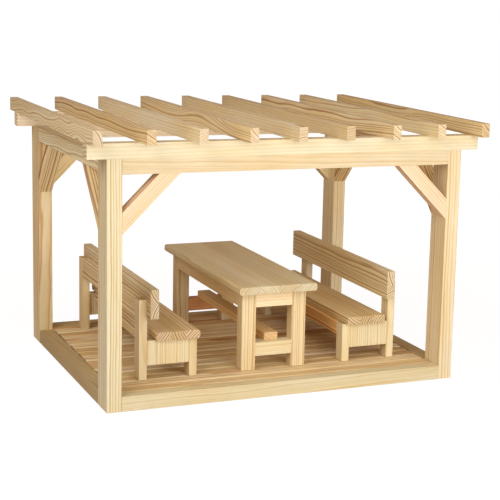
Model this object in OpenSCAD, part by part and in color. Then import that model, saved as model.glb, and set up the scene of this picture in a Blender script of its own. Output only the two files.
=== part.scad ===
// Scale model of a garden pergola in planed pine: four posts on sills round a
// slatted deck, two plates carrying nine rafters, and a table with two benches.
// Millimetres. X runs along the front, Y to the back, Z up; the front is -Y.
// The origin is on the ground under the middle of the roof.

/* [Frame] */
// Width over the outer faces of the posts
frame_w = 382; // [300:1:480]
// Depth over the outer faces of the posts
frame_d = 309; // [250:1:400]
// Height of the posts, from the ground to the plates
post_h = 248; // [200:1:320]
// Width of a post, seen from the front
post_w = 15; // [12:0.5:20]
// Depth of a post, seen from the side
post_d = 31.5; // [20:0.5:36]

/* [Roof] */
// Height of the front and back plates
plate_h = 15; // [10:0.5:20]
// Thickness of the front and back plates
plate_t = 15; // [9:0.5:18]
// Length of plate beyond a post
plate_over = 19.5; // [5:0.5:40]
// Height of the rails between the posts, below the plates
rail_h = 15; // [10:0.5:20]
// Thickness of the rails between the posts
rail_t = 12.5; // [9:0.5:14.5]
// Number of rafters
rafter_n = 9; // [5:1:12]
// Thickness of a rafter
rafter_w = 9; // [6:0.5:12]
// Height of a rafter
rafter_h = 14.5; // [10:0.5:20]
// Length of rafter beyond the plates, front and back
rafter_over = 22.5; // [5:0.5:40]

/* [Braces] */
// Distance that a brace reaches along its rail and down its post
brace_reach = 58; // [35:1:80]
// Width of a brace, square to its length
brace_w = 15; // [8:0.5:20]
// Thickness of a brace, level with the outer faces of the posts
brace_t = 15; // [6:0.5:18]

/* [Deck] */
// Height of the sills
sill_h = 15; // [12:0.5:20]
// Width of the sills
sill_w = 15; // [10:0.5:20]
// Number of deck boards
board_n = 16; // [10:1:20]
// Thickness of a deck board
board_t = 5; // [3:0.5:8]
// Gap between deck boards, and between them and the front and back sills
board_gap = 1.2; // [0.5:0.1:3]
// Gap between the end of a deck board and the side sill
board_end_gap = 0.8; // [0:0.1:3]
// Width of the bearers under the deck
bearer_w = 10; // [6:0.5:15]

/* [Table] */
// Distance from the front of the frame to the table legs
table_front = 48.5; // [20:0.5:80]
// Distance from the back of the frame to the table legs
table_back = 36; // [20:0.5:80]
// Distance of the table from the middle of the frame, to the right
table_shift = 3; // [-10:0.5:10]
// Width over the table legs
table_w = 72; // [50:0.5:90]
// Height of the table legs
table_leg_h = 83.5; // [60:0.5:110]
// Width of a table leg, across the table
table_leg_w = 15.5; // [8:0.5:18]
// Thickness of a table leg, along the table
table_leg_t = 14; // [8:0.5:18]
// Thickness of the table top
table_top_t = 8; // [5:0.5:12]
// Overhang of the table top at its long sides
table_side_over = 7.5; // [2:0.5:15]
// Overhang of the table top at its front end
table_front_over = 12; // [2:0.5:20]
// Overhang of the table top at its back end
table_back_over = 10; // [2:0.5:20]
// Height of the aprons under the table top
apron_h = 16.5; // [10:0.5:25]
// Thickness of the aprons
apron_t = 9; // [5:0.5:13]
// Height of the lower end rails above the deck
low_rail_z = 14.5; // [5:0.5:30]
// Height of the lower end rails
low_rail_h = 14.5; // [8:0.5:20]
// Width of the stretcher that joins the lower end rails
stretcher_w = 15; // [8:0.5:20]
// Thickness of the stretcher
stretcher_t = 8; // [5:0.5:12]
// Distance from the end faces of the legs to the ends of the stretcher
stretcher_back = 7.5; // [0:0.5:10]

/* [Benches] */
// Distance from the left side of the frame to the left bench
bench_side_left = 47; // [35:0.5:60]
// Distance from the right side of the frame to the right bench
bench_side_right = 46; // [35:0.5:60]
// Distance from the front of the frame to the bench legs
bench_front = 48.5; // [20:0.5:80]
// Distance from the back of the frame to the bench legs
bench_back = 28; // [15:0.5:80]
// Depth of a bench over its legs, from back to front of the seat
bench_d = 62; // [52:0.5:74]
// Thickness of a bench leg, across the bench
bench_leg_t = 8.5; // [6:0.5:12]
// Width of a bench leg, along the bench
bench_leg_w = 15; // [8:0.5:20]
// Height of the end panels and front legs above the deck
bench_panel_top = 41; // [30:0.5:55]
// Height of the lower edge of the end panels above the deck
bench_panel_z = 15; // [5:0.5:25]
// Height of the rear legs
bench_rear_h = 83.5; // [65:0.5:100]
// Thickness of the end panels and aprons of a bench
bench_board_t = 8.5; // [6:0.5:12]
// Width of the left seat
seat_w_left = 47; // [38:0.5:56]
// Width of the right seat
seat_w_right = 44; // [38:0.5:56]
// Thickness of the seat
seat_t = 8.5; // [6:0.5:12]
// Overhang of the seat beyond the end panels
seat_over = 5.5; // [0:0.5:15]
// Gap between the seat and the rear legs of the left bench
seat_gap_left = 8; // [3:0.5:8.5]
// Gap between the seat and the rear legs of the right bench
seat_gap_right = 5.5; // [3:0.5:8.5]
// Height of a backrest
backrest_h = 30; // [15:0.5:35]
// Thickness of a backrest
backrest_t = 9; // [6:0.5:12]
// Height of the left backrest's lower edge above the deck
backrest_z_left = 65.5; // [55:0.5:78]
// Height of the right backrest's lower edge above the deck
backrest_z_right = 69; // [55:0.5:78]
// Length of backrest beyond the rear legs, front and back
backrest_over = 11; // [0:0.5:20]
// Distance that the right backrest is set to the front
backrest_shift = 4; // [0:0.5:10]
// Height of the rail between the tops of the left bench's rear legs
back_rail_h_left = 21.5; // [10:0.5:25]
// Height of the rail between the tops of the right bench's rear legs
back_rail_h_right = 18.5; // [10:0.5:25]
// Height of the aprons under the seat
seat_apron_h = 14; // [8:0.5:20]

/* [Edges] */
// Radius of the long edges of the table top and the left seat
edge_r = 2.5; // [0.5:0.1:2.5]
// Radius of the long edges of the right seat
edge_r_right = 1; // [0.5:0.1:2.5]

/* [Hidden] */
$fn = 32;

pine = "#e6c48e";
pine_light = "#f0d29c";
pine_shade = "#d8b27a";

bench_nodes = ["seat", "backrest", "legs", "panels", "rails"];

// Outer faces of the frame
left = -frame_w / 2;
right = frame_w / 2;
front = -frame_d / 2;
back = frame_d / 2;

// Clear lengths between the posts
span_x = frame_w - 2 * post_w;
span_y = frame_d - 2 * post_d;

plate_z = post_h;
rail_z = post_h - rail_h;
rafter_z = plate_z + plate_h;
plate_len = frame_w + 2 * plate_over;
rafter_len = frame_d + 2 * rafter_over;
rafter_pitch = (plate_len - rafter_w) / (rafter_n - 1);

// The deck fills the space between the sills, clear of the posts
deck_z = sill_h;
deck_side = max(sill_w, post_w);
deck_len = frame_w - 2 * deck_side - 2 * board_end_gap;
deck_depth = frame_d - 2 * sill_w;
board_w = (deck_depth - board_gap) / board_n - board_gap;
bearer_h = sill_h - board_t;
bearer_n = 4;
bearer_pitch = (frame_w - 2 * deck_side - bearer_w) / (bearer_n - 1);

// The table stands on its own origin: the deck under the middle of its legs
table_len = frame_d - table_front - table_back;
table_y = (table_front - table_back) / 2;
leg_gap_x = table_w - 2 * table_leg_w;
leg_gap_y = table_len - 2 * table_leg_t;

// A bench stands on its own origin: the deck at the outer face of its rear
// legs, half way along. Its seat faces +X.
bench_len = frame_d - bench_front - bench_back;
bench_y = (bench_front - bench_back) / 2;
bench_gap_x = bench_d - 2 * bench_leg_t;
bench_gap_y = bench_len - 2 * bench_leg_w;
panel_gap_y = bench_len - 2 * bench_board_t;

// A block from its low corner and its size
module block(at, size) {
    translate(at)
        cube(size);
}

// Copies of the children at the low and the high end of a length, the second
// one mirrored, with the middle of the length at the origin
module both_ends_x(length) {
    for (side = [0, 1])
        mirror([side, 0, 0])
            translate([-length / 2, 0, 0])
                children();
}

module both_ends_y(length) {
    for (side = [0, 1])
        mirror([0, side, 0])
            translate([0, -length / 2, 0])
                children();
}

// A board along Y with its two long upper and lower edges rounded, centred on
// the origin in X and Y
module eased_board(width, length, height, radius) {
    translate([0, length / 2, 0])
        rotate([90, 0, 0])
            linear_extrude(length)
                union() {
                    translate([-width / 2, radius])
                        square([width, height - 2 * radius]);
                    translate([-width / 2 + radius, 0])
                        square([width - 2 * radius, height]);
                    for (x = [-1, 1], z = [radius, height - radius])
                        translate([x * (width / 2 - radius), z])
                            circle(radius);
                }
}

module post(x, y) {
    color(pine_light)
        block([x, y, 0], [post_w, post_d, post_h]);
}

module sill_across(y) {
    color(pine_light)
        block([left + post_w, y, 0], [span_x, sill_w, sill_h]);
}

module sill_along(x) {
    color(pine_shade)
        block([x, front + post_d, 0], [sill_w, span_y, sill_h]);
}

// Boards across the deck, level with the sills
module deck_boards() {
    color(pine_shade)
        for (i = [0 : board_n - 1])
            block([-deck_len / 2, front + sill_w + board_gap + i * (board_w + board_gap), bearer_h],
                  [deck_len, board_w, board_t]);
}

// Bearers on the ground under the deck, from the front sill to the back sill
module deck_bearers() {
    color(pine_shade)
        for (i = [0 : bearer_n - 1])
            block([left + deck_side + i * bearer_pitch, front + sill_w, 0],
                  [bearer_w, deck_depth, bearer_h]);
}

module rail_across(y) {
    color(pine)
        block([left + post_w, y, rail_z], [span_x, rail_t, rail_h]);
}

module rail_along(x) {
    color(pine)
        block([x, front + post_d, rail_z], [rail_t, span_y, rail_h]);
}

module plate(y) {
    color(pine_light)
        block([-plate_len / 2, y, plate_z], [plate_len, plate_t, plate_h]);
}

// One brace in the corner below a rail at Z = 0 and beside a post at X = 0,
// cut to a mitre at both ends, from Y = 0 to its thickness
module brace() {
    inner = brace_reach - brace_w * sqrt(2);
    translate([0, brace_t, 0])
        rotate([90, 0, 0])
            linear_extrude(brace_t)
                polygon([[brace_reach, 0], [inner, 0], [0, -inner], [0, -brace_reach]]);
}

// The pair under the front rail, or under the back rail when y_side is 1
module braces_across(y_side) {
    color(pine)
        mirror([0, y_side, 0])
            translate([0, front, rail_z])
                both_ends_x(span_x)
                    brace();
}

// The pair under the left rail, or under the right rail when x_side is 1
module braces_along(x_side) {
    color(pine_shade)
        mirror([x_side, 0, 0])
            translate([left, 0, rail_z])
                both_ends_y(span_y)
                    mirror([1, -1, 0])
                        brace();
}

// Rafters on edge, counted from the left, the outer two level with the ends
// of the plates
module rafter(i) {
    color(pine_light)
        block([-plate_len / 2 + (i - 1) * rafter_pitch, -rafter_len / 2, rafter_z],
              [rafter_w, rafter_len, rafter_h]);
}

module at_table() {
    translate([table_shift, table_y, deck_z])
        children();
}

module table_top() {
    color(pine)
        at_table()
            translate([0, (table_back_over - table_front_over) / 2, table_leg_h])
                eased_board(table_w + 2 * table_side_over,
                            table_len + table_front_over + table_back_over, table_top_t, edge_r);
}

module table_legs() {
    color(pine_light)
        at_table()
            both_ends_x(table_w)
                both_ends_y(table_len)
                    cube([table_leg_w, table_leg_t, table_leg_h]);
}

// Aprons between the tops of the legs, level with their outer faces
module table_aprons() {
    apron_z = table_leg_h - apron_h;
    color(pine)
        at_table() {
            both_ends_x(table_w)
                block([0, -leg_gap_y / 2, apron_z], [apron_t, leg_gap_y, apron_h]);
            both_ends_y(table_len)
                block([-leg_gap_x / 2, 0, apron_z], [leg_gap_x, apron_t, apron_h]);
        }
}

module table_low_rails() {
    color(pine_light)
        at_table()
            both_ends_y(table_len)
                block([-leg_gap_x / 2, 0, low_rail_z], [leg_gap_x, table_leg_t, low_rail_h]);
}

// The stretcher lies flat on the lower end rails
module table_stretcher() {
    length = table_len - 2 * stretcher_back;
    color(pine_shade)
        at_table()
            block([-stretcher_w / 2, -length / 2, low_rail_z + low_rail_h],
                  [stretcher_w, length, stretcher_t]);
}

module at_left_bench() {
    translate([left + bench_side_left, bench_y, deck_z])
        children();
}

module at_right_bench() {
    translate([right - bench_side_right, bench_y, deck_z])
        mirror([1, 0, 0])
            children();
}

module bench_seat(gap, width, radius) {
    color(pine)
        translate([bench_leg_t + gap + width / 2, 0, bench_panel_top])
            eased_board(width, bench_len + 2 * seat_over, seat_t, radius);
}

module bench_backrest(height, shift) {
    length = bench_len + 2 * backrest_over;
    color(pine)
        block([bench_leg_t, -length / 2 - shift, height], [backrest_t, length, backrest_h]);
}

module bench_legs() {
    color(pine_light)
        both_ends_y(bench_len) {
            cube([bench_leg_t, bench_leg_w, bench_rear_h]);
            block([bench_d - bench_leg_t, 0, 0], [bench_leg_t, bench_leg_w, bench_panel_top]);
        }
}

// End panels between the rear and front legs, level with their end faces
module bench_panels() {
    color(pine_light)
        both_ends_y(bench_len)
            block([bench_leg_t, 0, bench_panel_z],
                  [bench_gap_x, bench_board_t, bench_panel_top - bench_panel_z]);
}

// The rail between the tops of the rear legs, and the two aprons under the
// seat: one between the front legs, one between the end panels
module bench_rails(seat_gap, back_rail_h) {
    apron_z = bench_panel_top - seat_apron_h;
    color(pine_shade) {
        block([0, -bench_gap_y / 2, bench_rear_h - back_rail_h],
              [bench_leg_t, bench_gap_y, back_rail_h]);
        block([bench_leg_t + seat_gap, -panel_gap_y / 2, apron_z],
              [bench_board_t, panel_gap_y, seat_apron_h]);
        block([bench_d - bench_board_t, -bench_gap_y / 2, apron_z],
              [bench_board_t, bench_gap_y, seat_apron_h]);
    }
}

post(left, front);  // post_front_left
post(right - post_w, front);  // post_front_right
post(left, back - post_d);  // post_back_left
post(right - post_w, back - post_d);  // post_back_right
sill_across(front);  // sill_front
sill_across(back - sill_w);  // sill_back
sill_along(left);  // sill_left
sill_along(right - sill_w);  // sill_right
deck_boards();
deck_bearers();
rail_across(front);  // rail_front
rail_across(back - rail_t);  // rail_back
rail_along(left);  // rail_left
rail_along(right - rail_t);  // rail_right
plate(front);  // plate_front
plate(back - plate_t);  // plate_back
braces_across(0);  // braces_front
braces_across(1);  // braces_back
braces_along(0);  // braces_left
braces_along(1);  // braces_right
for (i = [1 : rafter_n])
    rafter(i);
table_top();
table_legs();
table_aprons();
table_low_rails();
table_stretcher();
at_left_bench() bench_seat(seat_gap_left, seat_w_left, edge_r);  // left_bench_seat
at_left_bench() bench_backrest(backrest_z_left, 0);  // left_bench_backrest
at_left_bench() bench_legs();  // left_bench_legs
at_left_bench() bench_panels();  // left_bench_panels
at_left_bench() bench_rails(seat_gap_left, back_rail_h_left);  // left_bench_rails
at_right_bench() bench_seat(seat_gap_right, seat_w_right, edge_r_right);  // right_bench_seat
at_right_bench() bench_backrest(backrest_z_right, backrest_shift);  // right_bench_backrest
at_right_bench() bench_legs();  // right_bench_legs
at_right_bench() bench_panels();  // right_bench_panels
at_right_bench() bench_rails(seat_gap_right, back_rail_h_right);  // right_bench_rails
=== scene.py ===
"""A scale model of a garden pergola in planed pine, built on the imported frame.

Metres, in the frame's own axes: X along the front, Y to the back, Z up.
"""

import bpy
import numpy as np
from mathutils import Euler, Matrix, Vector


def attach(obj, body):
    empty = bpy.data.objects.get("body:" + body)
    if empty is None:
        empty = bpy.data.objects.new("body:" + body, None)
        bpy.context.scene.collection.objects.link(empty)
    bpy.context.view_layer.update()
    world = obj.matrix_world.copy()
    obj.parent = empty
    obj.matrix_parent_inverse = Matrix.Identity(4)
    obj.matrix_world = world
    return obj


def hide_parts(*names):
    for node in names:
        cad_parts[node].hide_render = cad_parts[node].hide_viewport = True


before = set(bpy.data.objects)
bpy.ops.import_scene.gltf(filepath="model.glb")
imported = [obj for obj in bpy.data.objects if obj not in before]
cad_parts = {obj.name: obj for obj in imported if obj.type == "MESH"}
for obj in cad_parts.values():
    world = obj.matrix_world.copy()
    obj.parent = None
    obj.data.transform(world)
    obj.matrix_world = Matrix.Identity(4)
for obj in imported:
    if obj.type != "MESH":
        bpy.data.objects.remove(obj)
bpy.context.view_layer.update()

# ---- Posts -------------------------------------------------------------------
# Four posts, sawn from clear pine, planed on all sides and eased along their
# arrises with fine paper. They stand on the ground and are glued between the
# sills below and the rails above.
MM = 0.001
ARRIS = 0.45 * MM
# Boards come from anywhere in a log of this length, in millimetres.
LOG_LENGTH = 4000.0


def solids(node):
    """Low and high corner of each solid of a CAD node, as two arrays in order
    of place. Each corner point starts with its own number, and each triangle
    takes the lowest number of its corners until nothing changes; the corner
    points that end with one number are one solid."""
    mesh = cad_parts[node].data
    place = np.empty(len(mesh.vertices) * 3, np.float32)
    mesh.vertices.foreach_get("co", place)
    corner = np.empty(len(mesh.loops), np.int32)
    mesh.loops.foreach_get("vertex_index", corner)
    place = np.round(place.reshape(-1, 3).astype(float), 6)
    point, same = np.unique(place, axis=0, return_inverse=True)
    triangle = same.reshape(-1)[corner].reshape(-1, 3)
    number = np.arange(len(point))
    while True:
        lower = number.copy()
        np.minimum.at(lower, triangle.ravel(), np.repeat(number[triangle].min(axis=1), 3))
        if np.array_equal(lower, number):
            break
        number = lower
    low = np.array([point[number == k].min(axis=0) for k in np.unique(number)])
    high = np.array([point[number == k].max(axis=0) for k in np.unique(number)])
    order = np.lexsort((low[:, 2], low[:, 1], low[:, 0]))
    return low[order], high[order]


def bar(width, depth, length, ease, end_ease=ARRIS, turns=3, boards=1, slant=(0.0, 0.0)):
    """A closed bar from 0 to its length, as points, faces and face facts.

    Round the section (first parameter), a point is a corner's centre plus the
    ease times a unit direction that turns a quarter circle at each corner,
    with two more points at each glue line between boards. Along the bar
    (second parameter), six stations draw the section in at the ends: point =
    centre + (ease - end_ease * (1 - pull)) * direction. The end planes lean
    by the slants: length + slant * x. A face's facts are its kind (0 flat,
    1 arris, 2 end grain) and the board that it belongs to, from high x.
    """
    turn = np.linspace(0.0, np.pi / 2, turns + 1)
    glue = width / 2 - width / boards * np.arange(1, boards)
    centre, direction = [], []
    for quarter, (sx, sy) in enumerate(((1, 1), (-1, 1), (-1, -1), (1, -1))):
        angle = turn + quarter * np.pi / 2
        corner = (sx * (width / 2 - ease), sy * (depth / 2 - ease))
        centre.append(np.tile(corner, (turns + 1, 1)))
        direction.append(np.stack((np.cos(angle), np.sin(angle)), axis=1))
        if quarter in (0, 2) and boards > 1:
            across = glue if quarter == 0 else glue[::-1]
            up = np.full(boards - 1, sy * (depth / 2 - ease))
            centre.append(np.stack((across, up), axis=1))
            direction.append(np.tile((0.0, float(sy)), (boards - 1, 1)))
    centre, direction = np.concatenate(centre), np.concatenate(direction)
    count = len(centre)
    pull = np.array((0.35, 0.8, 1.0, 1.0, 0.8, 0.35))
    rows = len(pull) - 1
    inset = end_ease * np.array((0.0, 0.25, 0.75))
    along = np.concatenate((inset, length - inset[::-1]))
    reach = ease - end_ease * (1.0 - pull)
    section = centre + reach[:, None, None] * direction
    lean = np.repeat(slant, 3)[:, None] * section[:, :, 0]
    height = (along[:, None] + lean)[:, :, None]
    point = np.concatenate((section, height), axis=2).reshape(-1, 3)
    here = np.arange(count)
    after = np.roll(here, -1)
    row = np.arange(rows)[:, None] * count
    quads = (row + here, row + after, row + count + after, row + count + here)
    faces = [tuple(q) for q in np.stack(quads, axis=2).reshape(-1, 4).tolist()]
    flat = np.abs(direction - direction[after]).max(axis=1) < 1e-6
    inner = np.repeat(np.arange(rows) == rows // 2, count)
    kind = np.where(inner & np.tile(flat, rows), 0, 1).tolist()
    middle = (centre[:, 0] + centre[after, 0]) / 2
    board = np.clip(((width / 2 - middle) / (width / boards)).astype(int), 0, boards - 1)
    owner = np.tile(board, rows).tolist()
    edge = np.concatenate(((width / 2,), glue, (-width / 2,)))
    for k in range(boards):
        inside = (centre[:, 0] <= edge[k] + 1e-7) & (centre[:, 0] >= edge[k + 1] - 1e-7)
        ring = np.flatnonzero(inside)
        faces += [tuple(ring[::-1].tolist()), tuple((ring + rows * count).tolist())]
        kind += [2, 2]
        owner += [k, k]
    return point, faces, np.array(kind), np.array(owner)


def linear(code):
    """Linear colour of an sRGB hex code: c/12.92 below 0.04045, and above it
    ((c + 0.055) / 1.055) to the power 2.4."""
    c = np.array([int(code[i:i + 2], 16) for i in (1, 3, 5)]) / 255
    c = np.where(c < 0.04045, c / 12.92, ((c + 0.055) / 1.055) ** 2.4)
    return (*c.tolist(), 1.0)


def wood_piece(name, node, material, bars):
    """One piece for a CAD node from bars, each of them a dictionary: the bar's
    local points and their places in the frame, its faces with their facts,
    and the heart, lean, shift and tint of each of its boards.

    The grain coordinates of a face's corner are millimetres from the heart of
    the log, across and up the section, and millimetres along it:
    grain = section - heart - lean * length, and length + shift.
    """
    grain, tint, kinds, places, faces = [], [], [], [], []
    first = 0
    for b in bars:
        corner = np.concatenate([np.array(f) for f in b["face"]])
        per = np.repeat(b["owner"], [len(f) for f in b["face"]])
        mm = b["point"][corner] / MM
        section = mm[:, :2] - b["heart"][per] - b["lean"][per] * mm[:, 2:]
        grain.append(np.concatenate((section, mm[:, 2:] + b["shift"][per][:, None]), axis=1))
        tint.append(np.array([linear(code) for code in b["tint"]])[b["owner"]])
        kinds.append(b["kind"])
        places.append(b["place"])
        faces += [tuple(i + first for i in f) for f in b["face"]]
        first += len(b["point"])
    mesh = bpy.data.meshes.new(name)
    mesh.from_pydata(np.concatenate(places).tolist(), [], faces)
    kinds = np.concatenate(kinds)
    mesh.polygons.foreach_set("use_smooth", kinds == 1)
    for label, kind, domain, field, value in (
            ("grain", "FLOAT_VECTOR", "CORNER", "vector", np.concatenate(grain)),
            ("end_grain", "FLOAT", "FACE", "value", kinds == 2),
            ("tint", "FLOAT_COLOR", "FACE", "color", np.concatenate(tint))):
        layer = mesh.attributes.new(label, kind, domain)
        layer.data.foreach_set(field, value.astype(np.float32).ravel())
    mesh.materials.append(material)
    mesh.update()
    piece = bpy.data.objects.new(name, mesh)
    bpy.context.scene.collection.objects.link(piece)
    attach(piece, "root")
    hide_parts(node)


def timber(name, node, along, material, hearts, lean=((0.0, 0.0),), tint=("#ffffff",),
           ease=ARRIS, end_ease=ARRIS, turns=3, boards=1, stacked=False, short=0.0, seed=1):
    """A piece with a straight bar for each solid of a CAD node.

    The bar runs along an axis of the frame, and its section lies on the two
    others in their order: place = middle + section, and middle + length. A
    bar along Y runs to the front, which keeps it from being mirrored. Boards
    lie side by side, or with the section's axes exchanged they are stacked,
    and the bar runs the other way. A heart is the middle of the log's rings,
    in millimetres from the bar's middle, and its lean is how far it moves for
    each millimetre of length. Axes are taken in turn for the bars, and hearts,
    leans and tints for the boards. The ends may stop short by up to a given
    length, and each board takes its own stretch of the log, both drawn from
    the seed.
    """
    draw = np.random.default_rng(seed)
    bars = []
    for number, (a, b) in enumerate(zip(*solids(node))):
        axis = along[number % len(along)]
        a[axis] += draw.uniform(0.0, short)
        b[axis] -= draw.uniform(0.0, short)
        across, up = [k for k in range(3) if k != axis][::-1 if stacked else 1]
        forward = -1.0 if (axis == 1) != stacked else 1.0
        size, middle = b - a, (a + b) / 2
        point, face, kind, owner = bar(size[across], size[up], size[axis], ease, end_ease,
                                       turns, boards)
        place = np.empty_like(point)
        place[:, across], place[:, up] = point[:, 0], point[:, 1]
        place[:, axis] = (point[:, 2] - size[axis] / 2) * forward
        turn = np.arange(boards) + number * boards
        order = [1, 0] if stacked else [0, 1]
        bars.append({"point": point, "place": place + middle,
                     "face": face, "kind": kind, "owner": owner,
                     "heart": np.array(hearts, float)[turn % len(hearts)][:, order],
                     "lean": np.array(lean, float)[turn % len(lean)][:, order],
                     "shift": draw.uniform(0.0, LOG_LENGTH, boards),
                     "tint": [tint[k % len(tint)] for k in turn]})
    wood_piece(name, node, material, bars)


def add(tree, kind, settings=None, **inputs):
    """A node of a kind, with its settings, and its inputs set or linked. An
    input is named, with a line for a space, or numbered after an i."""
    node = tree.nodes.new(kind)
    for key, value in (settings or {}).items():
        setattr(node, key, value)
    for key, value in inputs.items():
        socket = node.inputs[int(key[1:]) if key[1:].isdigit() else key.replace("_", " ")]
        if isinstance(value, bpy.types.NodeSocket):
            tree.links.new(value, socket)
        else:
            socket.default_value = value
    return node.outputs


# The sway of a log, in millimetres: over how much of its width it changes,
# and how far it reaches for a sway of 1.
SWAY_WIDTH, SWAY_STEP = 200.0, 5.0
# Other patterns, in millimetres across and along the wood. Fibres are drawn
# some ten times as coarse as real ones, so that they show.
RIPPLE = (8.0, 60.0)
STAIN = (20.0, 120.0)
FIBRE = (0.45, 16.0)
END_FIBRE = (0.5, 0.5)
# Where the wood is stained, its colour is multiplied by this.
STAINED = "#fbf3e0"
# A year: shares of the ring's width, and how much of the latewood's brown is
# there. The brown line is followed at once by the next year's pale wood.
YEAR = ((0.35, 0.06), (0.62, 0.3), (0.84, 1.0), (0.93, 0.95))
# In wholly uneven wood, ripples and runs of good years move a ring by these
# ring widths, and a weak year loses this share of its brown. A run changes
# this much with each ring.
RIPPLE_MOVE, RUN_MOVE, WEAK_YEAR, RUN_PACE = 1.2, 3.5, 1.2, 0.4
# What the eye gets from planed wood: a faint shine, more from the dense
# latewood, fibres a little lighter and darker than the wood, and ridges that
# are just felt with a nail. Cut ends show the brown of each ring broader.
WOOD_IOR = 1.45
EARLY_ROUGH, LATE_ROUGH = 0.62, 0.5
DARK_FIBRE, LIGHT_FIBRE = 0.93, 1.05
RELIEF = 0.06 * MM
END_BREADTH = 0.7


def planed_pine(name, late, end_late, ring=2.0, sway=1.5, reach=180.0, uneven=0.5, bold=1.0,
                early="#fdf2dc", end_early="#efe8d8", sheen=0.5):
    """Planed pine, unfinished. Pale earlywood darkens over each year to a thin
    brown line of latewood, and then starts again at once, so a line has one
    soft and one sharp side. The rings are shells round the heart: their number
    is the distance from the heart over the ring's width, both in millimetres.
    The log sways over its length, so the lines on a face wave; good and bad
    years differ in width and strength, more so in uneven wood. Fine fibres run
    along the wood, and broad stains make it yellower. End grain has its own
    two colours, and rougher boards have less sheen."""
    material = bpy.data.materials.new(name)
    material.use_nodes = True
    tree = material.node_tree
    tree.nodes.clear()
    math, vector, noise = "ShaderNodeMath", "ShaderNodeVectorMath", "ShaderNodeTexNoise"
    mix, span, attribute = "ShaderNodeMix", "ShaderNodeMapRange", "ShaderNodeAttribute"
    grain = add(tree, attribute, {"attribute_name": "grain"})["Vector"]
    end = add(tree, attribute, {"attribute_name": "end_grain"})["Fac"]
    tint = add(tree, attribute, {"attribute_name": "tint"})["Color"]

    def cloud(across, along, detail):
        place = add(tree, vector, {"operation": "MULTIPLY"},
                    i0=grain, i1=(1 / across, 1 / across, 1 / along))[0]
        return add(tree, noise, Vector=place, Scale=1.0, Detail=detail)

    wander = add(tree, vector, {"operation": "SUBTRACT"},
                 i0=cloud(SWAY_WIDTH, reach, 1.0)["Color"], i1=(0.5, 0.5, 0.5))[0]
    moved = add(tree, vector, {"operation": "MULTIPLY_ADD"},
                i0=wander, i1=(SWAY_STEP * sway, SWAY_STEP * sway, 0.0), i2=grain)[0]
    shell = add(tree, vector, {"operation": "MULTIPLY"}, i0=moved, i1=(1.0, 1.0, 0.0))[0]
    distance = add(tree, vector, {"operation": "LENGTH"}, i0=shell)["Value"]
    ripple = add(tree, math, {"operation": "MULTIPLY_ADD"},
                 i0=cloud(*RIPPLE, 1.0)["Fac"], i1=RIPPLE_MOVE * uneven * ring, i2=distance)[0]
    pace = add(tree, noise, {"noise_dimensions": "1D"},
               W=distance, Scale=RUN_PACE / ring, Detail=0.0)["Fac"]
    years = add(tree, math, {"operation": "MULTIPLY_ADD"},
                i0=pace, i1=RUN_MOVE * uneven * ring, i2=ripple)[0]
    age = add(tree, math, {"operation": "DIVIDE"}, i0=years, i1=ring)[0]
    season = add(tree, math, {"operation": "FRACT"}, i0=age)[0]
    year = add(tree, math, {"operation": "FLOOR"}, i0=age)[0]
    vigour = add(tree, "ShaderNodeTexWhiteNoise", {"noise_dimensions": "1D"}, W=year)["Value"]
    curve = add(tree, "ShaderNodeValToRGB", Fac=season)["Color"]
    ramp = curve.node.color_ramp
    ramp.elements[0].color = ramp.elements[1].color = (0, 0, 0, 1)
    for place, value in YEAR:
        ramp.elements.new(place).color = (value, value, value, 1)
    weakest = (1.0 - WEAK_YEAR * uneven) * bold
    strength = add(tree, span, Value=vigour, To_Min=weakest, To_Max=bold)[0]
    latewood = add(tree, math, {"operation": "MULTIPLY"}, i0=curve, i1=strength)[0]
    side = add(tree, mix, {"data_type": "RGBA"},
               i0=latewood, i6=linear(early), i7=linear(late))[2]
    ring_end = add(tree, math, {"operation": "POWER"}, i0=latewood, i1=END_BREADTH)[0]
    cut = add(tree, mix, {"data_type": "RGBA"},
              i0=ring_end, i6=linear(end_early), i7=linear(end_late))[2]
    wood = add(tree, mix, {"data_type": "RGBA"}, i0=end, i6=side, i7=cut)[2]
    stain = add(tree, span, Value=cloud(*STAIN, 2.0)["Fac"], From_Min=0.35, From_Max=0.7)[0]
    warm = add(tree, mix, {"data_type": "RGBA", "blend_type": "MULTIPLY"},
               i0=stain, i6=wood, i7=linear(STAINED))[2]
    piece = add(tree, mix, {"data_type": "RGBA", "blend_type": "MULTIPLY"},
                i0=1.0, i6=warm, i7=tint)[2]
    fibre = add(tree, mix, {"data_type": "FLOAT"}, i0=end,
                i2=cloud(*FIBRE, 3.0)["Fac"], i3=cloud(*END_FIBRE, 2.0)["Fac"])[0]
    shade = add(tree, span, Value=fibre,
                From_Min=0.3, From_Max=0.7, To_Min=DARK_FIBRE, To_Max=LIGHT_FIBRE)[0]
    colour = add(tree, vector, {"operation": "SCALE"}, i0=piece, Scale=shade)[0]
    relief = add(tree, math, {"operation": "MULTIPLY_ADD"}, i0=latewood, i1=0.5, i2=fibre)[0]
    bump = add(tree, "ShaderNodeBump", Height=relief, Strength=0.35, Distance=RELIEF)[0]
    gloss = add(tree, span, Value=latewood, To_Min=EARLY_ROUGH, To_Max=LATE_ROUGH)[0]
    surface = add(tree, "ShaderNodeBsdfPrincipled", Base_Color=colour, Roughness=gloss,
                  Normal=bump, IOR=WOOD_IOR, Specular_IOR_Level=sheen)[0]
    add(tree, "ShaderNodeOutputMaterial", Surface=surface)
    return material


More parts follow.
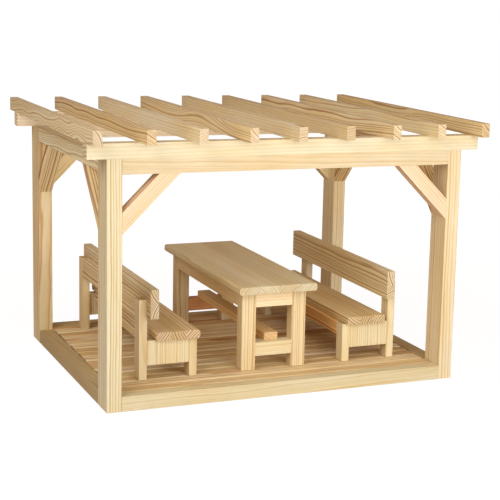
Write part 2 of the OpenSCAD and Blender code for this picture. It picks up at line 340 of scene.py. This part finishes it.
post_pine = planed_pine("planed_pine_posts", "#c8945a", "#a86c42", ring=2.5, sway=1.0)
quiet_pine = planed_pine("planed_pine_posts_quiet", "#d3a266", "#a86c42", ring=2.5, sway=1.0,
                         bold=0.8)
streaked_pine = planed_pine("planed_pine_post_streaked", "#d08c44", "#a86c42", ring=7.0,
                            sway=1.6, uneven=0.6, bold=0.8, early="#f6dcae")
timber("post_front_left_timber", "post_front_left", (2,), post_pine, [(58, 24)],
       tint=("#e4e6d4",), seed=11)
timber("post_front_right_timber", "post_front_right", (2,), quiet_pine,
       [(44, 40)], tint=("#e9e5d2",), seed=12)
timber("post_back_left_timber", "post_back_left", (2,), streaked_pine,
       [(-14, -22)], lean=((0.03, 0.0),), tint=("#f0fbfd",), seed=13)
timber("post_back_right_timber", "post_back_right", (2,), quiet_pine,
       [(38, -26)], tint=("#feffec",), seed=14)

# ---- Sills -------------------------------------------------------------------
# A frame of square pine battens on the ground, glued between the posts and
# level with their outer faces.
sill_pine = planed_pine("planed_pine_sills", "#e3bd85", "#a86c42", ring=2.4, sway=1.4, bold=0.6)
timber("sill_front_timber", "sill_front", (0,), sill_pine, [(-30, -34)],
       lean=((0.02, 0.01),), tint=("#dad9c6",), seed=21)
# The back and side sills are tinted darker and greyer than the front one: painted shade, for
# their tops in the roof's shadow.
timber("sill_back_timber", "sill_back", (0,), sill_pine, [(25, -30)],
       tint=("#c4b88a",), seed=22)
timber("sill_left_timber", "sill_left", (1,), sill_pine, [(-16, -20)],
       lean=((0.02, 0.02),), tint=("#bdb191",), seed=23)
timber("sill_right_timber", "sill_right", (1,), sill_pine, [(20, 26)],
       tint=("#bdb086",), seed=24)

# ---- Deck --------------------------------------------------------------------
# Thin planed boards across the frame, level with the sills, with well rounded
# long edges, fixed from below to bearers on the ground. They were cut by
# hand, so their ends stop short of the side sills by different amounts.
BOARD_ROUND = 2.1 * MM
BOARD_SHORT = 1.8 * MM
DECK_BOARDS = 16
BOARD_SHADES = ("#eee8d1", "#e3d8b9", "#f1efde", "#ddcba6")
deck_pine = planed_pine("planed_pine_deck", "#c48a4c", "#a86c42", ring=2.2, sway=1.2, sheen=0.1)
draw = np.random.default_rng(31)
heart_across = draw.uniform(-25, 25, DECK_BOARDS)
heart_up = draw.uniform(8, 40, DECK_BOARDS) * draw.choice((-1, 1), DECK_BOARDS)
deck_tints = [BOARD_SHADES[k] for k in draw.integers(0, len(BOARD_SHADES), DECK_BOARDS)]
timber("deck_boards_timber", "deck_boards", (0,), deck_pine,
       np.stack((heart_across, heart_up), axis=1),
       lean=draw.uniform(-0.02, 0.02, (DECK_BOARDS, 2)), tint=deck_tints, ease=BOARD_ROUND,
       turns=5, short=BOARD_SHORT, seed=31)
timber("deck_bearers_timber", "deck_bearers", (1,), deck_pine,
       [(14, 22), (-20, 18)], tint=("#cfb388",), seed=32)

# ---- Rails -------------------------------------------------------------------
# Battens between the heads of the posts, all four sides, level with the
# posts' outer faces and glued under the plates. The front one was planed
# together with its plate, and its joint barely shows.
CLOSE_ARRIS = 0.12 * MM
rail_pine = planed_pine("planed_pine_rails", "#e6c088", "#a86c42", ring=2.4, sway=1.2, bold=0.65)
side_rail_pine = planed_pine("planed_pine_side_rails", "#c4925a", "#a86c42", ring=2.3,
                             sway=2.0, reach=120.0)
timber("rail_front_timber", "rail_front", (0,), rail_pine, [(-30, 24)],
       lean=((0.01, -0.02),), tint=("#dcd7c5",), ease=CLOSE_ARRIS, seed=41)
timber("rail_back_timber", "rail_back", (0,), rail_pine, [(22, 28)], seed=42)
timber("rail_left_timber", "rail_left", (1,), side_rail_pine, [(-20, -20)],
       lean=((0.0, 0.03),), tint=("#f7fdee",), seed=43)
timber("rail_right_timber", "rail_right", (1,), side_rail_pine, [(12, -26)],
       tint=("#e4d4bc",), seed=44)

# ---- Plates ------------------------------------------------------------------
# Two long battens on the heads of the posts, front and back, which carry the
# rafters and run out beyond the posts at both ends. Their annual rings lie
# flat, so the ends show level stripes.
plate_pine = planed_pine("planed_pine_plates", "#f0d6a4", "#8e5c38", ring=3.6, sway=1.0,
                         uneven=0.2, bold=0.6, end_early="#fff2d4")
timber("plate_front_timber", "plate_front", (0,), plate_pine, [(-6, -44)],
       lean=((0.0, 0.01),), tint=("#e5e7dc",), ease=CLOSE_ARRIS, seed=51)
timber("plate_back_timber", "plate_back", (0,), plate_pine, [(-4, 30)],
       lean=((0.01, 0.01),), seed=52)

# ---- Braces ------------------------------------------------------------------
# Short battens at 45 degrees in each corner below the rails, mitred at both
# ends and glued to the post and the rail. Those at the sides are of a log
# with broad brown latewood.
BRACE_W = 15.0 * MM
MITRES = (-1.0, 1.0)
NEXT_BAR, NEXT_SEED = 900.0, 70.0
brace_pine = planed_pine("planed_pine_braces", "#cf9f62", "#a86c42", ring=2.3, sway=0.6,
                         uneven=0.4, bold=0.7)
side_brace_pine = planed_pine("planed_pine_side_braces", "#b06f34", "#a86c42", ring=3.2,
                              sway=1.2, uneven=0.3)


def braces(name, node, plane, material, hearts, tint, seed):
    """A piece with two mitred bars in one plane, for a CAD node.

    A brace's middle line starts on the post, half a mitre below its upper
    edge, and rises at 45 degrees to the rail; its ends are cut by the slants
    -1 and 1, so that one is upright and the other level. A bar that is
    mirrored has its faces turned. The bars come from one log, a step apart,
    and each seed starts further along it.
    """
    side = 1 - plane
    bars = []
    for number, (a, b) in enumerate(zip(*solids(node))):
        middle = (a + b) / 2
        outward = 1.0 if middle[plane] < 0 else -1.0
        start = a[plane] if outward > 0 else b[plane]
        length = (b[2] - a[2]) * np.sqrt(2) - BRACE_W
        point, face, kind, owner = bar(BRACE_W, b[side] - a[side], length, ARRIS, slant=MITRES)
        place = np.empty_like(point)
        place[:, plane] = start + outward * (point[:, 2] + point[:, 0]) / np.sqrt(2)
        place[:, 2] = a[2] + (BRACE_W + point[:, 2] - point[:, 0]) / np.sqrt(2)
        place[:, side] = middle[side] + point[:, 1]
        if (outward > 0) != (plane == 0):
            face = [f[::-1] for f in face]
        bars.append({"point": point, "place": place, "face": face, "kind": kind, "owner": owner,
                     "heart": np.array([hearts[number]], float), "lean": np.zeros((1, 2)),
                     "shift": np.array([NEXT_BAR * number + NEXT_SEED * seed]),
                     "tint": [tint]})
    wood_piece(name, node, material, bars)


braces("braces_front_timber", "braces_front", 0, brace_pine, ((46, -16), (-44, -14)),
       "#f5e6db", 61)
braces("braces_back_timber", "braces_back", 0, brace_pine, ((40, -24), (-38, 20)),
       "#fffcdf", 62)
braces("braces_left_timber", "braces_left", 1, side_brace_pine, ((6, 42), (-8, 40)),
       "#f9f3d8", 63)
braces("braces_right_timber", "braces_right", 1, side_brace_pine, ((6, -44), (-8, 42)),
       "#fcf1c3", 64)

# ---- Rafters -----------------------------------------------------------------
# Nine battens on edge across the plates, evenly spaced. They were sawn from
# different parts of the log, so some show straight lines and others waves and
# long arches of brown latewood on their sides.
RAFTER_END = "#e8ddcd"
wavy_pine = planed_pine("planed_pine_rafters_wavy", "#c4925a", "#a86c42", ring=2.1, sway=3.2,
                        reach=80.0, end_early=RAFTER_END)
bold_pine = planed_pine("planed_pine_rafters_bold", "#b0763c", "#a86c42", ring=2.2, sway=2.2,
                        reach=150.0)
arch_pine = planed_pine("planed_pine_rafters_arched", "#a86c34", "#a86c42", ring=2.3, sway=5.0,
                        reach=240.0, bold=0.82, end_early=RAFTER_END)
mild_pine = planed_pine("planed_pine_rafters_mild", "#cc9c60", "#a86c42", ring=2.0, sway=1.4,
                        reach=160.0, bold=0.9)
fine_pine = planed_pine("planed_pine_rafters_fine", "#cfa268", "#a86c42", ring=1.8, sway=0.8,
                        uneven=0.4, bold=0.8, end_early=RAFTER_END)
# Wood, heart, lean, seed and tint of each rafter, from the left.
RAFTERS = (
    (wavy_pine, (-22, -24), (0.0, 0.03), 71, "#edecd8"),
    (bold_pine, (22, 26), (0.0, 0.01), 72, "#ece3c5"),
    (fine_pine, (-22, 26), (0.0, 0.01), 73, "#f5f6e9"),
    (arch_pine, (22, 26), (0.0, 0.0), 275, "#f2ebd0"),
    (fine_pine, (4, -30), (0.0, 0.01), 75, "#eeebd7"),
    (fine_pine, (-6, 34), (0.0, 0.0), 76, "#e5dec4"),
    (bold_pine, (20, 14), (0.0, 0.03), 77, "#f1eace"),
    (mild_pine, (20, 24), (0.0, 0.02), 78, "#f0edd6"),
    (arch_pine, (22, 26), (0.0, 0.0), 279, "#eae0bc"),
)
for i, (material, heart, lean, seed, tint) in enumerate(RAFTERS, 1):
    timber(f"rafter_{i}_timber", f"rafter_{i}", (1,), material, [heart],
           lean=(lean,), tint=(tint,), seed=seed)

# ---- Table -------------------------------------------------------------------
# A top glued up from four boards, with well rounded long edges, on four square
# legs. Aprons under the top and low end rails are glued between the legs, and
# a stretcher lies on the low rails.
TOP_ROUND = 2.5 * MM
LEG_TINTS = ("#ebe6d0", "#e3dcc3")
SIDE_APRON, END_APRON = "#e5d5b3", "#fcf5e1"
top_pine = planed_pine("sanded_pine_table_top", "#d9b27a", "#b88a60", ring=2.0, sway=1.2,
                       uneven=0.4, bold=0.75)
leg_pine = planed_pine("planed_pine_table_legs", "#d8ae74", "#a86c42", ring=2.3, sway=0.8)
apron_pine = planed_pine("planed_pine_table_aprons", "#dfb880", "#b98a5c", ring=2.2, sway=1.0,
                         bold=0.5)
timber("table_top_board", "table_top", (1,), top_pine,
       [(-8, 40), (50, -38), (-52, -36), (8, -40)],
       tint=("#e8e8d3", "#e3dfc6", "#ededdb", "#e6e4ce"), ease=TOP_ROUND, turns=6, boards=4,
       seed=81)
timber("table_legs_timber", "table_legs", (2,), leg_pine,
       [(30, 22), (-26, 24), (24, -30), (28, 26)], tint=LEG_TINTS, seed=82)
timber("table_aprons_timber", "table_aprons", (1, 0, 0, 1), apron_pine,
       [(16, 24), (-20, 22), (22, 18)], tint=(SIDE_APRON, END_APRON, SIDE_APRON, SIDE_APRON),
       seed=83)
# The back low rail's deep orange tint is painted shade, for the warm shade under the table; the
# front one is pale.
timber("table_low_rails_timber", "table_low_rails", (0,), apron_pine,
       [(20, 26), (-24, 20)], tint=("#ececdb", "#e4b285"), seed=84)
timber("table_stretcher_timber", "table_stretcher", (1,), apron_pine,
       [(18, 26)], tint=("#f2d9a9",), seed=85)

# ---- Benches -----------------------------------------------------------------
# Two benches, mirrored. Seats glued up from three boards rest on end panels
# and front legs, the left one's edges well rounded and the right one's less;
# a deep backrest is fixed to the tall rear legs, with a rail between them.
seat_pine = planed_pine("sanded_pine_seats", "#c9975a", "#9c5832", ring=2.6, sway=0.8,
                        uneven=0.2)
back_pine = planed_pine("planed_pine_backrests", "#bd8448", "#9c5832", ring=2.2, sway=0.8,
                        uneven=0.35)
bench_leg_pine = planed_pine("planed_pine_bench_legs", "#e2bd86", "#a86c42", ring=3.0, sway=1.6,
                             bold=0.7, end_early="#e0ccaa")
panel_pine = planed_pine("planed_pine_panels", "#e0bb84", "#a86c42", ring=2.2, sway=0.5,
                         uneven=0.35)
# Side, first seed, and rounding of the seat's edges in millimetres; hearts of
# the seat, back and panels; tints of the seat, back, legs, panels and rails.
BENCHES = (
    ("left", 90, 2.5,
     [(48, -34), (30, 12), (-48, 26)], [(24, 22), (26, -20)], [(-18, -14), (38, 28)],
     ("#ede2c0", "#e4d6ad", "#ede2c0"), ("#e8e8d6",), ("#e6e0c6",), ("#eeefde",), ("#e7e1c9",)),
    # The right bench's orange rail tint is painted shade, for its rails in deep shade.
    ("right", 100, 1.0,
     [(48, -26), (-30, 12), (4, 26)], [(26, 16), (12, -34)], [(-60, 24), (56, 20)],
     ("#eae3c0", "#e2d6ad", "#eae3c0"), ("#efedd3",), ("#edecdb",), ("#eaead6",), ("#fadba6",)),
)
for side, seed, seat_round, seat_hearts, back_hearts, panel_hearts, *tints in BENCHES:
    bench = f"{side}_bench"
    seat_tint, back_tint, leg_tint, panel_tint, rail_tint = tints
    timber(f"{bench}_seat_boards", f"{bench}_seat", (1,), seat_pine,
           seat_hearts, tint=seat_tint, ease=seat_round * MM, turns=6, boards=3, seed=seed)
    timber(f"{bench}_backrest_board", f"{bench}_backrest", (1,), back_pine,
           back_hearts, lean=((0.0, 0.01),), tint=back_tint, boards=2, stacked=True,
           seed=seed + 1)
    timber(f"{bench}_legs_timber", f"{bench}_legs", (2,), bench_leg_pine,
           [(6, 24), (-20, 22), (-8, 22), (18, 20)], tint=leg_tint, seed=seed + 2)
    timber(f"{bench}_panels_boards", f"{bench}_panels", (2,), panel_pine,
           panel_hearts, tint=panel_tint, seed=seed + 3)
    timber(f"{bench}_rails_timber", f"{bench}_rails", (1,), back_pine,
           [(20, -20), (22, 16), (-18, 20)], tint=rail_tint, seed=seed + 4)

# ---- Studio ------------------------------------------------------------------
# A white paper sweep that glows to the eye, and a white room that gives a dim
# warm light and a faint sheen. Three broad soft lamps: two in front, one of
# them low and one nearer and higher, and one higher up on the left.
SWEEP = 12.0
# The paper's glow: distance from the middle, and strength there. Its shadows
# are as deep as the small share of the lamps' light that it adds to the glow.
GLOW_NEAR, GLOW_FAR = (0.3, 0.94), (1.0, 1.0)
SHADOW_DEPTH = 0.13
ROOM_LIGHT, ROOM_SHEEN = 0.27, 0.3
floor_mesh = bpy.data.meshes.new("studio_floor")
floor_mesh.from_pydata([(-SWEEP, -SWEEP, 0), (SWEEP, -SWEEP, 0), (SWEEP, SWEEP, 0),
                        (-SWEEP, SWEEP, 0)], [], [(0, 1, 2, 3)])
floor_paper = bpy.data.materials.new("white_paper_sweep")
floor_paper.use_nodes = True
paper = floor_paper.node_tree
paper.nodes.clear()
rays = add(paper, "ShaderNodeLightPath")
plain = add(paper, "ShaderNodeBsdfDiffuse", Color=linear("#e6e6e6"))[0]
point = add(paper, "ShaderNodeNewGeometry")["Position"]
away = add(paper, "ShaderNodeVectorMath", {"operation": "LENGTH"}, i0=point)["Value"]
level = add(paper, "ShaderNodeMapRange", Value=away, From_Min=GLOW_NEAR[0],
            From_Max=GLOW_FAR[0], To_Min=GLOW_NEAR[1], To_Max=GLOW_FAR[1])[0]
faint = add(paper, "ShaderNodeBsdfDiffuse", Color=(*[SHADOW_DEPTH] * 3, 1.0))[0]
glow = add(paper, "ShaderNodeEmission", Color=(1, 1, 1, 1), Strength=level)[0]
seen = add(paper, "ShaderNodeAddShader", i0=faint, i1=glow)[0]
both = add(paper, "ShaderNodeMixShader", i0=rays["Is Camera Ray"], i1=plain, i2=seen)[0]
add(paper, "ShaderNodeOutputMaterial", Surface=both)
floor_mesh.materials.append(floor_paper)
studio_floor = bpy.data.objects.new("studio_floor", floor_mesh)
bpy.context.scene.collection.objects.link(studio_floor)

world = bpy.data.worlds.new("white_room")
bpy.context.scene.world = world
world.use_nodes = True
room = world.node_tree
room.nodes.clear()
rays = add(room, "ShaderNodeLightPath")
walls = add(room, "ShaderNodeBackground", Color=linear("#ffceae"), Strength=ROOM_LIGHT)[0]
white = add(room, "ShaderNodeBackground", Color=(1, 1, 1, 1), Strength=1.0)[0]
shine = add(room, "ShaderNodeMath", {"operation": "MULTIPLY"},
            i0=rays["Is Glossy Ray"], i1=ROOM_SHEEN)[0]
seen = add(room, "ShaderNodeMath", {"operation": "MAXIMUM"},
           i0=rays["Is Camera Ray"], i1=shine)[0]
both = add(room, "ShaderNodeMixShader", i0=seen, i1=walls, i2=white)[0]
add(room, "ShaderNodeOutputWorld", Surface=both)

AIM = Vector((0.0, 0.0, 0.12))
for name, place, width, watts in (("front_lamp", (0.445, -1.222, 0.12), 0.9, 4.9),
                                  ("near_lamp", (0.066, -0.749, 0.394), 0.6, 2.75),
                                  ("left_lamp", (-0.872, -0.611, 0.866), 0.9, 7.8)):
    lamp = bpy.data.lights.new(name, "AREA")
    lamp.shape = "DISK"
    lamp.size = width
    lamp.energy = watts
    holder = bpy.data.objects.new(name, lamp)
    holder.location = place
    holder.rotation_euler = (AIM - Vector(place)).to_track_quat("-Z", "Y").to_euler()
    bpy.context.scene.collection.objects.link(holder)

camera = bpy.data.objects.new("camera", bpy.data.cameras.new("camera"))
camera.location = (-0.546393, -1.402716, 0.418752)
camera.rotation_euler = Euler(np.radians((79.332435, -1.638214, -24.204359)))
camera.data.lens = 99.5005
camera.data.shift_x = -0.125511
camera.data.shift_y = -0.020221
camera.data.clip_end = 100.0
bpy.context.scene.collection.objects.link(camera)
bpy.context.scene.camera = camera
bpy.context.scene.view_settings.view_transform = "Standard"
